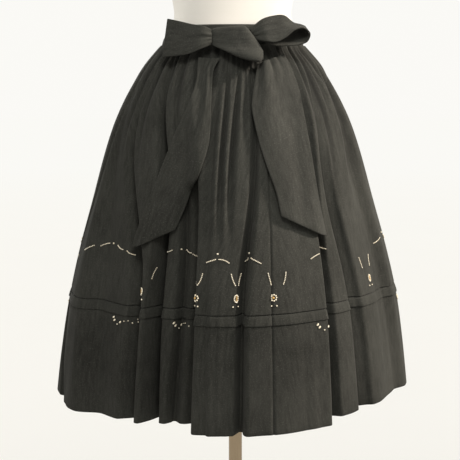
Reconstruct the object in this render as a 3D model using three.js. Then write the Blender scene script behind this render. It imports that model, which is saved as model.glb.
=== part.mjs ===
// A gathered wool skirt with a tied sash, worn by a limbless dress form on a round-footed stand.
// Millimetres, +Z up. The origin is the centre of the foot's underside; the front faces -Y.
import * as THREE from 'three';

// Heights above the floor
const WAIST_Z = 1000;
const FOOT_THICKNESS = 8;
const FORM_BOTTOM_Z = 700;

// Cloth thicknesses and the space kept between touching pieces
const CLOTH = 1.8;
const SASH_CLOTH = 2.4;
const FLAP_CLOTH = 1.3;
const SEAM_GAP = 0.3;

// The skirt's lengths, down from the waistband's lower edge
const TUCK_STITCH_DROP = 401;
const TUCK_HEIGHT = 15;
const HEM_DROP = 573;
const LOWER_TIER_TOP_DROP = TUCK_STITCH_DROP + 4;

// Stand sizes; the post stands a little beside the form's middle
const POST_RADIUS = 11.5;
const FOOT_RADIUS = 180;
const SOCKET_RADIUS = 21;
const SOCKET_HEIGHT = 46;
const GARMENT_X = -5;

const BAND_HEIGHT = 32;
const BAND_CLEARANCE = 0.6;
const SASH_OUTSIDE = BAND_CLEARANCE + 2 * SASH_CLOTH + SEAM_GAP;
const DEGREE = Math.PI / 180;

// Outline of the spread skirt: half width and half depth at each drop from the waist
const ENVELOPE = [
  { drop: 0, side: 121, front: 93 },
  { drop: 12, side: 132, front: 104 },
  { drop: 30, side: 147, front: 120 },
  { drop: 50, side: 160, front: 137 },
  { drop: 90, side: 182, front: 164 },
  { drop: 130, side: 200, front: 186 },
  { drop: 180, side: 217, front: 209 },
  { drop: 253, side: 238, front: 235 },
  { drop: 336, side: 262, front: 260 },
  { drop: 419, side: 281, front: 283 },
  { drop: 501, side: 293, front: 297 },
  { drop: 590, side: 303, front: 309 },
];

// How deep and how wide an ordinary valley between two flutes is at each drop
const VALLEY = [
  { drop: 0, depth: 5, width: 5 },
  { drop: 30, depth: 10, width: 8 },
  { drop: 90, depth: 18, width: 12 },
  { drop: 180, depth: 26, width: 16 },
  { drop: 280, depth: 31, width: 18 },
  { drop: 370, depth: 34, width: 20 },
  { drop: 470, depth: 37, width: 22 },
  { drop: 590, depth: 40, width: 24 },
];

// Drops at which the angles in the four angle columns of FOLDS are given
const ANGLE_DROPS = { waist: 0, hip: 180, tuck: 370, hem: 570 };

// Each row is the valley on the left of one flute, anticlockwise from the left side, in degrees
// from the front. deep and wide scale VALLEY, lean pushes the valley's floor sideways under the
// next flute, out is the flute's stand-off from the outline at the hem, and fade is the drop at
// which a short valley has run out. A seam is a row with no depth.
const FOLDS = [
  { waist: -98, hip: -97, tuck: -96, hem: -95, deep: 0.9, wide: 0.9, lean: 0.3, out: -2 },
  { waist: -84, hip: -86, tuck: -90, hem: -86, deep: 0, wide: 0, lean: 0, out: -2, seam: true },
  { waist: -71, hip: -75, tuck: -83, hem: -73.5, deep: 0.6, wide: 1.1, lean: 0.2, out: -2 },
  { waist: -63, hip: -66, tuck: -58, hem: -50, deep: 0, wide: 2.2, lean: 0, out: -34 },
  { waist: -56, hip: -54, tuck: -39.5, hem: -38.5, deep: 0.8, wide: 1.1, lean: 0.25, out: -34 },
  { waist: -46.5, hip: -33, tuck: -32.2, hem: -30.6, deep: 1, wide: 0.8, lean: -0.2, out: -54 },
  { waist: -37, hip: -24.5, tuck: -21.6, hem: -22.8, deep: 0.25, wide: 0.7, lean: -0.2, out: -66 },
  { waist: -29, hip: -17.5, tuck: -14.6, hem: -15.2, deep: 0.2, wide: 0.8, lean: 0.3, out: -10 },
  { waist: -7.2, hip: -8.6, tuck: -9, hem: -8.5, deep: 0.3, wide: 0.9, lean: 0, out: -4, fade: 330 },
  { waist: -2, hip: -4.6, tuck: -5.5, hem: -5.5, deep: 0.7, wide: 0.6, lean: 0, out: -4, fade: 330 },
  { waist: 5.5, hip: -0.8, tuck: -1.6, hem: -2.4, deep: 0.7, wide: 0.6, lean: 0, out: -4, fade: 330 },
  { waist: 10.5, hip: 9, tuck: 3, hem: 1.5, deep: 0.55, wide: 0.6, lean: 0.3, out: 3 },
  { waist: 17, hip: 14.5, tuck: 12.2, hem: 11.5, deep: 0, wide: 0, lean: 0, out: 3, seam: true },
  { waist: 30, hip: 25, tuck: 23.5, hem: 24, deep: 0.4, wide: 0.9, lean: 0, out: 1, fade: 330 },
  { waist: 42, hip: 36, tuck: 34.6, hem: 33.6, deep: 0.9, wide: 1, lean: -0.4, out: -24 },
  { waist: 54, hip: 44.6, tuck: 48.6, hem: 49.5, deep: 0.5, wide: 1, lean: -0.4, out: -20 },
  { waist: 74, hip: 66, tuck: 68, hem: 70, deep: 0.5, wide: 1.6, lean: 0, out: -4, fade: 330 },
  { waist: 93, hip: 91, tuck: 92, hem: 91, deep: 0.8, wide: 0.9, lean: 0.3, out: -2 },
  { waist: 101, hip: 99, tuck: 99, hem: 99, deep: 0, wide: 0, lean: 0, out: -2, seam: true },
  { waist: 108, hip: 106, tuck: 106, hem: 107, deep: 0.9, wide: 0.8, lean: -0.4, out: -32 },
  { waist: 121, hip: 119, tuck: 118, hem: 119, deep: 0.75, wide: 0.9, lean: 0.3, out: -12 },
  { waist: 134, hip: 132, tuck: 131, hem: 133, deep: 1, wide: 0.8, lean: 0.4, out: -40 },
  { waist: 146, hip: 145, tuck: 145, hem: 144, deep: 0.8, wide: 0.8, lean: -0.3, out: -18 },
  { waist: 157, hip: 158, tuck: 157, hem: 156, deep: 0.9, wide: 0.9, lean: 0.4, out: 0 },
  { waist: 171, hip: 171, tuck: 170, hem: 169, deep: 0.7, wide: 0.8, lean: -0.3, out: -6 },
  { waist: 183, hip: 182, tuck: 181, hem: 180, deep: 0.9, wide: 0.8, lean: 0.3, out: -34 },
  { waist: 191, hip: 190, tuck: 190, hem: 190, deep: 0, wide: 0, lean: 0, out: -34, seam: true },
  { waist: 200, hip: 200, tuck: 199, hem: 199, deep: 0.85, wide: 0.9, lean: -0.4, out: -20 },
  { waist: 213, hip: 213, tuck: 212, hem: 213, deep: 1, wide: 0.8, lean: 0.3, out: -44 },
  { waist: 226, hip: 227, tuck: 227, hem: 225, deep: 0.8, wide: 0.8, lean: -0.3, out: -14 },
  { waist: 239, hip: 239, tuck: 239, hem: 240, deep: 0.9, wide: 0.9, lean: 0.4, out: -36 },
  { waist: 251, hip: 251, tuck: 250, hem: 252, deep: 0.8, wide: 0.8, lean: -0.3, out: -10 },
];

// The dress form: half width and depth to the front and back at each height
const FORM = [
  { z: FORM_BOTTOM_Z, side: 150, front: 104, back: 116 },
  { z: 712, side: 157, front: 109, back: 122 },
  { z: 760, side: 164, front: 114, back: 129 },
  { z: 810, side: 165, front: 116, back: 133 },
  { z: 870, side: 157, front: 112, back: 126 },
  { z: 930, side: 141, front: 103, back: 110 },
  { z: 975, side: 123, front: 92, back: 94 },
  { z: 1000, side: 114, front: 85, back: 85 },
  { z: 1032, side: 102.5, front: 77, back: 77 },
  { z: 1052, side: 98, front: 75, back: 75 },
  { z: 1085, side: 103, front: 81, back: 78 },
  { z: 1130, side: 115, front: 98, back: 85 },
  { z: 1175, side: 126, front: 114, back: 93 },
  { z: 1205, side: 131, front: 118, back: 97 },
  { z: 1245, side: 135, front: 108, back: 99 },
  { z: 1295, side: 148, front: 88, back: 95 },
  { z: 1335, side: 163, front: 73, back: 84 },
  { z: 1362, side: 160, front: 64, back: 73 },
  { z: 1382, side: 122, front: 58, back: 65 },
  { z: 1396, side: 82, front: 54, back: 59 },
  { z: 1412, side: 60, front: 52, back: 55 },
  { z: 1450, side: 54, front: 50, back: 52 },
];

// The left loop, from the knot out to its fold and back behind: the low and the high edge
const LEFT_LOOP = [
  { low: [-34.2, -109, 998], high: [-34.2, -108, 1022] },
  { low: [-50, -118, 991], high: [-46, -114, 1027] },
  { low: [-70, -116, 983], high: [-64, -110, 1030] },
  { low: [-90, -109, 980], high: [-84, -102, 1035] },
  { low: [-107, -100, 979], high: [-100, -92, 1039] },
  { low: [-112, -94, 979], high: [-104, -86, 1040] },
  { low: [-107, -90, 980], high: [-99, -82, 1039] },
  { low: [-90, -97, 981], high: [-84, -91, 1034] },
  { low: [-70, -105, 984], high: [-64, -99, 1029] },
  { low: [-50, -106, 992], high: [-47, -102, 1024] },
  { low: [-34.2, -98, 1002], high: [-34.2, -97, 1016] },
];

// The right loop, from the knot over the curl at its tip and back below: low and high edges
const RIGHT_LOOP = [
  { low: [39, -113, 1004.5], high: [26, -108, 1021.5] },
  { low: [54, -127, 1002], high: [46, -104, 1038] },
  { low: [68, -128, 1001], high: [64, -98, 1044] },
  { low: [83, -125, 1008], high: [81, -94, 1045] },
  { low: [97, -119, 1020], high: [98, -80, 1034] },
  { low: [112, -110, 1024], high: [111, -73, 1029] },
  { low: [123, -103, 1015], high: [117, -69, 1025.5] },
  { low: [119, -101, 1003], high: [113, -67, 1021.5] },
  { low: [107, -104, 998], high: [103, -68, 1024] },
  { low: [88, -109, 996], high: [88, -76, 1020] },
  { low: [68, -113, 996], high: [70, -87, 1014] },
  { low: [52, -113, 1000], high: [51, -97, 1013] },
];

// The knot, as sections from left to right: x, low and high edge, and how far it stands forward
const KNOT = [
  { x: -33, low: 997, high: 1023, proud: 18 },
  { x: -27, low: 994, high: 1025, proud: 21 },
  { x: -10, low: 986, high: 1026.5, proud: 28 },
  { x: 6, low: 978, high: 1028, proud: 33 },
  { x: 20, low: 973, high: 1027, proud: 36 },
  { x: 32, low: 970, high: 1013, proud: 36 },
  { x: 42, low: 970, high: 999, proud: 32 },
  { x: 48, low: 974, high: 988, proud: 24 },
];

// The tails hanging over the skirt: x and drop of both edges; ridge is a soft fold down the cloth
const LEFT_TAIL = [
  { left: -55, leftDrop: 22, right: -20, rightDrop: 24, ridge: 7 },
  { left: -56, leftDrop: 40, right: -29, rightDrop: 40, ridge: 6 },
  { left: -57, leftDrop: 58, right: -32, rightDrop: 58, ridge: 5 },
  { left: -64, leftDrop: 82, right: -33, rightDrop: 84, ridge: 4 },
  { left: -75, leftDrop: 109, right: -34, rightDrop: 112, ridge: 3 },
  { left: -88, leftDrop: 136, right: -35, rightDrop: 141, ridge: 3 },
  { left: -100, leftDrop: 166, right: -39, rightDrop: 166, ridge: 3 },
  { left: -117, leftDrop: 208, right: -51, rightDrop: 201, ridge: 4 },
  { left: -128, leftDrop: 236, right: -63, rightDrop: 226, ridge: 4 },
  { left: -141, leftDrop: 267, right: -73, rightDrop: 254, ridge: 3 },
  { left: -160, leftDrop: 322, right: -89, rightDrop: 290, ridge: 1 },
];
const RIGHT_TAIL = [
  { left: 39, leftDrop: 33, right: 82, rightDrop: 16, ridge: 7 },
  { left: 37, leftDrop: 46, right: 92, rightDrop: 34, ridge: 9 },
  { left: 32, leftDrop: 74, right: 104, rightDrop: 70, ridge: 8 },
  { left: 29, leftDrop: 100, right: 109, rightDrop: 98, ridge: 7 },
  { left: 33, leftDrop: 124, right: 114, rightDrop: 126, ridge: 5 },
  { left: 43, leftDrop: 164, right: 121, rightDrop: 168, ridge: 4 },
  { left: 54, leftDrop: 197, right: 127, rightDrop: 206, ridge: 3 },
  { left: 65, leftDrop: 228, right: 134, rightDrop: 248, ridge: 2 },
  { left: 73, leftDrop: 264, right: 145, rightDrop: 299, ridge: 1 },
];

// Where the columns of points lie between one valley (0) and the next (1)
const FLUTE_STEPS = [0.08, 0.2, 0.35, 0.5, 0.65, 0.8, 0.92];
const BEFORE_SEAM_STEPS = [0.09, 0.3, 0.6];
const AFTER_SEAM_STEPS = [0, 0.4, 0.7, 0.91];
const SHORT_GATHER = { depth: 4.5, fade: 95, halfWidth: 0.2, leastSpread: 8.5 };
const UPPER_DROPS = [0, 14, 45, 100, 180, 290, TUCK_STITCH_DROP - 1];
const LOWER_DROPS = [LOWER_TIER_TOP_DROP, 424, 490, HEM_DROP];
// A flute stands proud in its middle by this much at the hem, less where it is narrower
const FLUTE_CROWN = 3.5;
const CROWNED_WIDTH = 70;
const MITRE_LIMIT = 0.5;
const SEAM_STEP = 0.02;

const TAU = 2 * Math.PI;

function smooth(t) {
  const q = THREE.MathUtils.clamp(t, 0, 1);
  return q * q * q * (10 - 15 * q + 6 * q * q);
}

// Value of one column of a table at x, with a smooth curve through its rows
function lookUp(table, key, column, x) {
  const last = table.length - 1;
  const at = THREE.MathUtils.clamp(x, table[0][key], table[last][key]);
  let i = 0;
  while (i < last - 1 && table[i + 1][key] < at) i += 1;
  const slope = (j) => {
    const before = table[Math.max(j - 1, 0)];
    const after = table[Math.min(j + 1, last)];
    return (after[column] - before[column]) / (after[key] - before[key]);
  };
  const span = table[i + 1][key] - table[i][key];
  const t = (at - table[i][key]) / span;
  const rise = table[i + 1][column] - table[i][column];
  const bend = (1 - t) * (slope(i) * span - rise) - t * (slope(i + 1) * span - rise);
  return table[i][column] + rise * t + t * (1 - t) * bend;
}

function foldAngle(fold, drop) {
  const rows = Object.entries(ANGLE_DROPS).map(([name, at]) => ({ at, angle: fold[name] }));
  return lookUp(rows, 'at', 'angle', drop);
}

// How much longer the skirt hangs at this angle: it dips in front and to the left
function hangShift(angle) {
  return 10 * Math.cos(angle) + 2 * Math.cos(2 * angle) - 9 * Math.sin(angle);
}

// Fold i of FOLDS, going round past the end
function foldAt(i) {
  const turns = Math.floor(i / FOLDS.length);
  const fold = FOLDS[i - turns * FOLDS.length];
  return { fold, turn: 360 * turns };
}

// The last row that is a valley at or before i, and the first one after it
function fluteEnds(i) {
  let start = i;
  while (foldAt(start).fold.seam) start -= 1;
  let end = i + 1;
  while (foldAt(end).fold.seam) end += 1;
  return { start, end };
}

function valleyAngle(i, drop) {
  const { fold, turn } = foldAt(i);
  return foldAngle(fold, drop) + turn;
}

function valleyFade(fold, drop) {
  return fold.fade ? 1 - smooth((drop - 0.3 * fold.fade) / (0.7 * fold.fade)) : 1;
}

function standOff(fold, drop) {
  return fold.out * smooth((drop - 20) / 380);
}

// Floor of valley i, below the lower one of the flutes beside it
function valleyFloor(i, drop) {
  const { fold } = foldAt(i);
  const before = foldAt(fluteEnds(i - 1).start).fold;
  const lower = Math.min(standOff(before, drop), standOff(fold, drop));
  return lower - fold.deep * valleyFade(fold, drop) * lookUp(VALLEY, 'drop', 'depth', drop);
}

// Middle of the cloth at row i + part of FOLDS, at a drop from the waist
function clothPoint(i, part, drop) {
  const row = Math.floor(i);
  const { start, end } = fluteEnds(row);
  const angle = THREE.MathUtils.lerp(valleyAngle(row, drop), valleyAngle(row + 1, drop), part);
  const from = valleyAngle(start, drop);
  const to = valleyAngle(end, drop);
  const across = (angle - from) / (to - from);
  const side = lookUp(ENVELOPE, 'drop', 'side', drop);
  const front = lookUp(ENVELOPE, 'drop', 'front', drop);
  const reach = Math.hypot(side * Math.sin(angle * DEGREE), front * Math.cos(angle * DEGREE));
  const fluteWidth = (to - from) * DEGREE * reach;
  const usual = lookUp(VALLEY, 'drop', 'width', drop) / fluteWidth;
  const left = foldAt(start).fold;
  const right = foldAt(end).fold;
  const leftPart = Math.min(0.5, usual * left.wide);
  const rightPart = Math.min(0.5, usual * right.wide);
  const crest = standOff(left, drop);
  const nearLeft = across < 0.5;
  const floor = valleyFloor(nearLeft ? start : end, drop);
  const climb = nearLeft ? smooth(across / leftPart) : smooth((1 - across) / rightPart);
  const own = nearLeft ? left : right;
  const ownPart = nearLeft ? leftPart : rightPart;
  const neighbour = nearLeft ? foldAt(fluteEnds(start - 1).start).fold : right;
  const lowerCrest = Math.min(crest, standOff(neighbour, drop));
  let away = floor + (crest - floor) * climb;
  const risen = lowerCrest > floor ? (away - floor) / (lowerCrest - floor) : 1;
  const slide = own.lean * ownPart * fluteWidth * (1 - smooth(risen));
  const crown = Math.min(1, drop / HEM_DROP) * FLUTE_CROWN * Math.min(1, fluteWidth / CROWNED_WIDTH);
  away += crown * (4 * across * (1 - across) - 1) * climb;
  if (valleyAngle(end, 0) - valleyAngle(start, 0) > SHORT_GATHER.leastSpread) {
    const near = 1 - Math.abs(across - 0.5) / SHORT_GATHER.halfWidth;
    const waning = 1 - smooth(drop / SHORT_GATHER.fade);
    away -= SHORT_GATHER.depth * waning * smooth(near);
  }
  const turn = angle * DEGREE + slide / reach;
  const stretch = 1 + away / reach;
  const level = drop + hangShift(turn) * drop / HEM_DROP;
  const x = side * stretch * Math.sin(turn);
  const y = -front * stretch * Math.cos(turn);
  return new THREE.Vector3(x, y, WAIST_Z - level);
}

// Columns of one panel, from seam to seam, as places in FOLDS
function panelColumns(first, last) {
  const columns = [];
  for (let row = first; row < last; row += 1) {
    const afterSeam = foldAt(row).fold.seam;
    const beforeSeam = foldAt(row + 1).fold.seam;
    const steps = afterSeam ? AFTER_SEAM_STEPS : beforeSeam ? BEFORE_SEAM_STEPS : FLUTE_STEPS;
    for (const step of steps) columns.push({ row, part: step });
  }
  columns.push({ row: last, part: 0 });
  return columns;
}

// One row of a panel's wall, moved out from the cloth's middle by the two given amounts
function wallRow(columns, drop, inside, outside) {
  const last = columns.length - 1;
  const at = (row, step) => clothPoint(row, step, drop);
  const line = columns.map((c) => at(c.row, c.part));
  const beside = (row) => [at(row - 1, 1 - SEAM_STEP), at(row, SEAM_STEP)];
  const [before] = beside(columns[0].row);
  const [, after] = beside(columns[last].row);
  line.unshift(before);
  line.push(after);
  const rows = { inner: [], outer: [] };
  for (let k = 0; k <= last; k += 1) {
    const here = line[k + 1];
    const towards = here.clone().sub(line[k]).setZ(0).normalize();
    const onwards = line[k + 2].clone().sub(here).setZ(0).normalize();
    const along = towards.clone().add(onwards).normalize();
    if (k === 0 || k === last) {
      const [left, right] = beside(columns[k].row);
      along.copy(right.sub(left).setZ(0).normalize());
    }
    const mitre = 1 / Math.max(MITRE_LIMIT, along.dot(towards));
    const normal = new THREE.Vector3(along.y, -along.x, 0).multiplyScalar(mitre);
    const inset = k === 0 ? SEAM_GAP / 2 : k === last ? -SEAM_GAP / 2 : 0;
    const base = here.clone().addScaledVector(along, inset);
    rows.inner.push(base.clone().addScaledVector(normal, inside));
    rows.outer.push(base.clone().addScaledVector(normal, outside));
  }
  return rows;
}

// A closed wall between two grids of points; closed rings wrap round from the last column
function wallGeometry(outer, inner, ring = false) {
  const rows = outer.length;
  const columns = outer[0].length;
  const points = [...outer.flat(), ...inner.flat()];
  const shift = rows * columns;
  const index = [];
  const quad = (a, b, c, d) => index.push(a, b, c, a, c, d);
  const spans = ring ? columns : columns - 1;
  for (let r = 0; r < rows - 1; r += 1) {
    for (let c = 0; c < spans; c += 1) {
      const here = r * columns + c;
      const next = r * columns + (c + 1) % columns;
      quad(here, here + columns, next + columns, next);
      quad(shift + here, shift + next, shift + next + columns, shift + here + columns);
    }
  }
  for (let c = 0; c < spans; c += 1) {
    const next = (c + 1) % columns;
    const foot = (rows - 1) * columns;
    quad(c, next, shift + next, shift + c);
    quad(foot + next, foot + c, shift + foot + c, shift + foot + next);
  }
  for (let r = 0; !ring && r < rows - 1; r += 1) {
    const first = r * columns;
    const last = first + columns - 1;
    quad(first, shift + first, shift + first + columns, first + columns);
    quad(last, last + columns, shift + last + columns, shift + last);
  }
  return solid(points, index);
}

function solid(points, index) {
  const geometry = new THREE.BufferGeometry();
  geometry.setAttribute('position', new THREE.Float32BufferAttribute(points.flatMap((p) => p.toArray()), 3));
  geometry.setIndex(index);
  return geometry;
}

// A closed body through a stack of rings of equal count, with a flat lid at each end
function stackGeometry(rings) {
  const count = rings[0].length;
  const points = rings.flat();
  const index = [];
  for (let r = 0; r < rings.length - 1; r += 1) {
    for (let c = 0; c < count; c += 1) {
      const here = r * count + c;
      const next = r * count + (c + 1) % count;
      index.push(here, next, next + count, here, next + count, here + count);
    }
  }
  const lid = (ring, start, up) => {
    const middle = ring.reduce((sum, p) => sum.add(p), new THREE.Vector3()).divideScalar(count);
    points.push(middle);
    for (let c = 0; c < count; c += 1) {
      const next = (c + 1) % count;
      const pair = up ? [start + c, start + next] : [start + next, start + c];
      index.push(...pair, points.length - 1);
    }
  };
  lid(rings[0], 0, false);
  lid(rings[rings.length - 1], (rings.length - 1) * count, true);
  return solid(points, index);
}

// A ribbon of cloth through a grid of middle points, half its thickness to each side
function ribbonGeometry(grid, thickness) {
  const clampTo = (value, most) => Math.min(Math.max(value, 0), most);
  const at = (r, c) => grid[clampTo(r, grid.length - 1)][clampTo(c, grid[0].length - 1)];
  const shifted = (sign) => grid.map((row, r) => row.map((point, c) => {
    const down = at(r + 1, c).clone().sub(at(r - 1, c));
    const across = at(r, c + 1).clone().sub(at(r, c - 1));
    const normal = down.cross(across).normalize();
    return point.clone().addScaledVector(normal, sign * thickness / 2);
  }));
  return wallGeometry(shifted(1), shifted(-1));
}

function part(name, geometry, material) {
  const mesh = new THREE.Mesh(geometry, material);
  mesh.name = name;
  return mesh;
}

const wool = new THREE.MeshStandardMaterial({ color: 0x2b2a27, roughness: 0.95, metalness: 0 });
const formCover = new THREE.MeshStandardMaterial({ color: 0xf3efe6, roughness: 0.85, metalness: 0 });
const steel = new THREE.MeshStandardMaterial({ color: 0xa89a88, roughness: 0.35, metalness: 1 });

// Places in FOLDS of the four seams, and one more to close the last panel
function seamRows() {
  const rows = FOLDS.map((fold, i) => (fold.seam ? i : -1)).filter((i) => i >= 0);
  return [...rows, rows[0] + FOLDS.length];
}

// The upper tier ends in the tuck: below its stitching the cloth stands off over the lower tier
function upperPanel(first, last) {
  const columns = panelColumns(first, last);
  const half = CLOTH / 2;
  const flapInside = half + SEAM_GAP;
  const flapOutside = flapInside + FLAP_CLOTH;
  const rows = UPPER_DROPS.map((drop) => wallRow(columns, drop, -half, half));
  rows.push(wallRow(columns, TUCK_STITCH_DROP + 2, flapInside, flapOutside));
  rows.push(wallRow(columns, TUCK_STITCH_DROP + TUCK_HEIGHT, flapInside, flapOutside));
  return wallGeometry(rows.map((row) => row.outer), rows.map((row) => row.inner));
}

function lowerPanel(first, last) {
  const columns = panelColumns(first, last);
  const rows = LOWER_DROPS.map((drop) => wallRow(columns, drop, -CLOTH / 2, CLOTH / 2));
  return wallGeometry(rows.map((row) => row.outer), rows.map((row) => row.inner));
}

function ellipseRing(count, z, side, front, back) {
  const ring = [];
  for (let k = 0; k < count; k += 1) {
    const angle = TAU * k / count;
    const depth = Math.cos(angle) > 0 ? front : back;
    ring.push(new THREE.Vector3(side * Math.sin(angle), -depth * Math.cos(angle), z));
  }
  return ring;
}

// A band round the waist that follows the form at a distance
function waistRing(lowZ, highZ, inside, thickness) {
  const count = 56;
  const heights = [highZ, lowZ];
  const ring = (z, away) => {
    const side = lookUp(FORM, 'z', 'side', z) + away;
    const front = lookUp(FORM, 'z', 'front', z) + away;
    return ellipseRing(count, z, side, front, front);
  };
  const outer = heights.map((z) => ring(z, inside + thickness));
  const inner = heights.map((z) => ring(z, inside));
  return wallGeometry(outer, inner, true);
}

function formGeometry() {
  const rings = FORM.map((row) => ellipseRing(36, row.z, row.side, row.front, row.back));
  return stackGeometry(rings);
}

// A loop of the bow through its low and high edges, with rounded turns between the rows
function loopGeometry(table, rowsBetween) {
  const lows = new THREE.CatmullRomCurve3(table.map((row) => new THREE.Vector3(...row.low)));
  const highs = new THREE.CatmullRomCurve3(table.map((row) => new THREE.Vector3(...row.high)));
  const count = (table.length - 1) * rowsBetween;
  const across = 4;
  const grid = [];
  for (let r = 0; r <= count; r += 1) {
    const low = lows.getPoint(r / count);
    const high = highs.getPoint(r / count);
    const row = [];
    for (let c = 0; c <= across; c += 1) row.push(low.clone().lerp(high, c / across));
    grid.push(row);
  }
  return ribbonGeometry(grid, SASH_CLOTH);
}

// Foremost point of the skirt's cloth near x at a level below the waist
function skirtFront(x, drop) {
  const reach = 9;
  let foremost = 0;
  for (const row of frontRows) {
    for (let k = 0; k < 16; k += 1) {
      const point = clothPoint(row, k / 16, drop);
      if (Math.abs(point.x - x) < reach) foremost = Math.min(foremost, point.y);
    }
  }
  return foremost;
}
const frontRows = FOLDS.map((fold, i) => i).filter((i) => Math.abs(FOLDS[i].waist) < 75);

// A tail laid over the skirt, each of its points just in front of the cloth beneath it
function tailGeometry(table, ridgeAt, clearance) {
  const across = 6;
  const rows = table.map((row, place) => ({ ...row, place }));
  const grid = [];
  for (let place = 0; place <= table.length - 1; place += 0.5) {
    const at = (column) => lookUp(rows, 'place', column, place);
    const points = [];
    for (let c = 0; c <= across; c += 1) {
      const t = c / across;
      const x = THREE.MathUtils.lerp(at('left'), at('right'), t);
      const drop = THREE.MathUtils.lerp(at('leftDrop'), at('rightDrop'), t);
      const ridge = at('ridge') * Math.exp(-(((t - ridgeAt) / 0.22) ** 2));
      const y = skirtFront(x, drop) - clearance - ridge;
      points.push(new THREE.Vector3(x, y, WAIST_Z - drop));
    }
    grid.push(points);
  }
  const smoothed = grid.map((row, r) => row.map((point, c) => {
    const near = [[r - 1, c], [r + 1, c], [r, c - 1], [r, c + 1]]
      .filter(([i, j]) => grid[i] && grid[i][j])
      .map(([i, j]) => grid[i][j].y);
    const mean = near.reduce((sum, y) => sum + y, 0) / near.length;
    return point.clone().setY(Math.min(point.y, (point.y + mean) / 2));
  }));
  return ribbonGeometry(smoothed, SASH_CLOTH);
}

// Distance in front of the axis at which the knot's back lies, on the sash or the gathers
function knotBack(z) {
  const onSash = lookUp(FORM, 'z', 'front', z) + SASH_OUTSIDE + SEAM_GAP;
  const onGathers = lookUp(ENVELOPE, 'drop', 'front', WAIST_Z - z) + CLOTH;
  return z > WAIST_Z ? onSash : Math.max(onSash, onGathers);
}

// The knot is wrapped cloth, solid, standing off the waistband and the gathers below it
function knotGeometry() {
  const count = 16;
  const rings = KNOT.map((section) => {
    const ring = [];
    const middle = (section.low + section.high) / 2;
    const half = (section.high - section.low) / 2;
    for (let k = 0; k < count; k += 1) {
      const angle = TAU * k / count;
      const z = middle - half * Math.sin(angle);
      const y = -knotBack(z) - section.proud * (0.5 + 0.5 * Math.cos(angle));
      ring.push(new THREE.Vector3(section.x, y, z));
    }
    return ring;
  });
  return stackGeometry(rings);
}

function footGeometry() {
  const profile = [
    [0, 0], [FOOT_RADIUS - 2, 0], [FOOT_RADIUS, 2], [FOOT_RADIUS, FOOT_THICKNESS - 2],
    [FOOT_RADIUS - 2, FOOT_THICKNESS], [SOCKET_RADIUS + 6, FOOT_THICKNESS + 1],
    [SOCKET_RADIUS, FOOT_THICKNESS + 6], [SOCKET_RADIUS, SOCKET_HEIGHT - 2],
    [SOCKET_RADIUS - 2, SOCKET_HEIGHT], [POST_RADIUS + SEAM_GAP, SOCKET_HEIGHT],
    [POST_RADIUS + SEAM_GAP, FOOT_THICKNESS], [0, FOOT_THICKNESS],
  ];
  const lathe = new THREE.LatheGeometry(profile.map(([r, z]) => new THREE.Vector2(r, z)), 40);
  return lathe.rotateX(Math.PI / 2);
}

function postGeometry() {
  const low = FOOT_THICKNESS + SEAM_GAP;
  const high = FORM_BOTTOM_Z - SEAM_GAP;
  const post = new THREE.CylinderGeometry(POST_RADIUS, POST_RADIUS, high - low, 28);
  return post.rotateX(Math.PI / 2).translate(0, 0, (low + high) / 2);
}

const stand = new THREE.Group();
stand.add(part('stand_foot', footGeometry(), steel));
stand.add(part('stand_post', postGeometry(), steel));

const bandTop = WAIST_Z + BAND_HEIGHT;
const worn = new THREE.Group();
worn.add(part('form_torso', formGeometry(), formCover));
worn.add(part('waistband', waistRing(WAIST_Z, bandTop, BAND_CLEARANCE, SASH_CLOTH), wool));
worn.add(part('sash_wrap', waistRing(WAIST_Z + 1, bandTop - 1, SASH_OUTSIDE - SASH_CLOTH, SASH_CLOTH), wool));
worn.add(part('bow_knot', knotGeometry(), wool));
worn.add(part('bow_loop_left', loopGeometry(LEFT_LOOP, 2), wool));
worn.add(part('bow_loop_right', loopGeometry(RIGHT_LOOP, 2), wool));
worn.add(part('tail_left', tailGeometry(LEFT_TAIL, 0.75, 3.1), wool));
worn.add(part('tail_right', tailGeometry(RIGHT_TAIL, 0.3, 5.6), wool));
const seams = seamRows();
for (let k = 0; k < seams.length - 1; k += 1) {
  worn.add(part(`upper_panel_${k + 1}`, upperPanel(seams[k], seams[k + 1]), wool));
  worn.add(part(`lower_panel_${k + 1}`, lowerPanel(seams[k], seams[k + 1]), wool));
}
worn.position.x = GARMENT_X;

const model = new THREE.Group();
model.add(stand, worn);
export default model;
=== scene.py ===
"""A gathered wool skirt with a tied sash, on a limbless dress form: the finished surfaces.

Sizes are in millimetres until a mesh is made. The front faces -Y and the floor is z = 0.
"""
import math

import bpy
import numpy as np
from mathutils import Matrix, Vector


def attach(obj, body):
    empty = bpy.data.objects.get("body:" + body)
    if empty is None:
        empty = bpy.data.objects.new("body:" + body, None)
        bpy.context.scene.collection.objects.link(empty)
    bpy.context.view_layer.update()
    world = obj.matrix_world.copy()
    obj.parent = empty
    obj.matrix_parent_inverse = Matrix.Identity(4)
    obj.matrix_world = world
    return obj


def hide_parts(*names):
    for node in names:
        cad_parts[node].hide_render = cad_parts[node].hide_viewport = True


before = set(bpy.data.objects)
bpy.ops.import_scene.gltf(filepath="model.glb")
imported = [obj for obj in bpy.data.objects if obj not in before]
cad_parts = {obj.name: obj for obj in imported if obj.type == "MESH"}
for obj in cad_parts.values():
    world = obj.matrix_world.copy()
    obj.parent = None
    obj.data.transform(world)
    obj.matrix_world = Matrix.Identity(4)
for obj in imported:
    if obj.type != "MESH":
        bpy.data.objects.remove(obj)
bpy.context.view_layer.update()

BODY = "root"
MM = 0.001
TAU = 2 * math.pi
DEGREE = math.pi / 180
rng = np.random.default_rng(7)


def table(columns, *rows):
    """Rows of numbers as one array for each named column."""
    values = np.array(rows, float).T
    return dict(zip(columns.split(), values))


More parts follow.
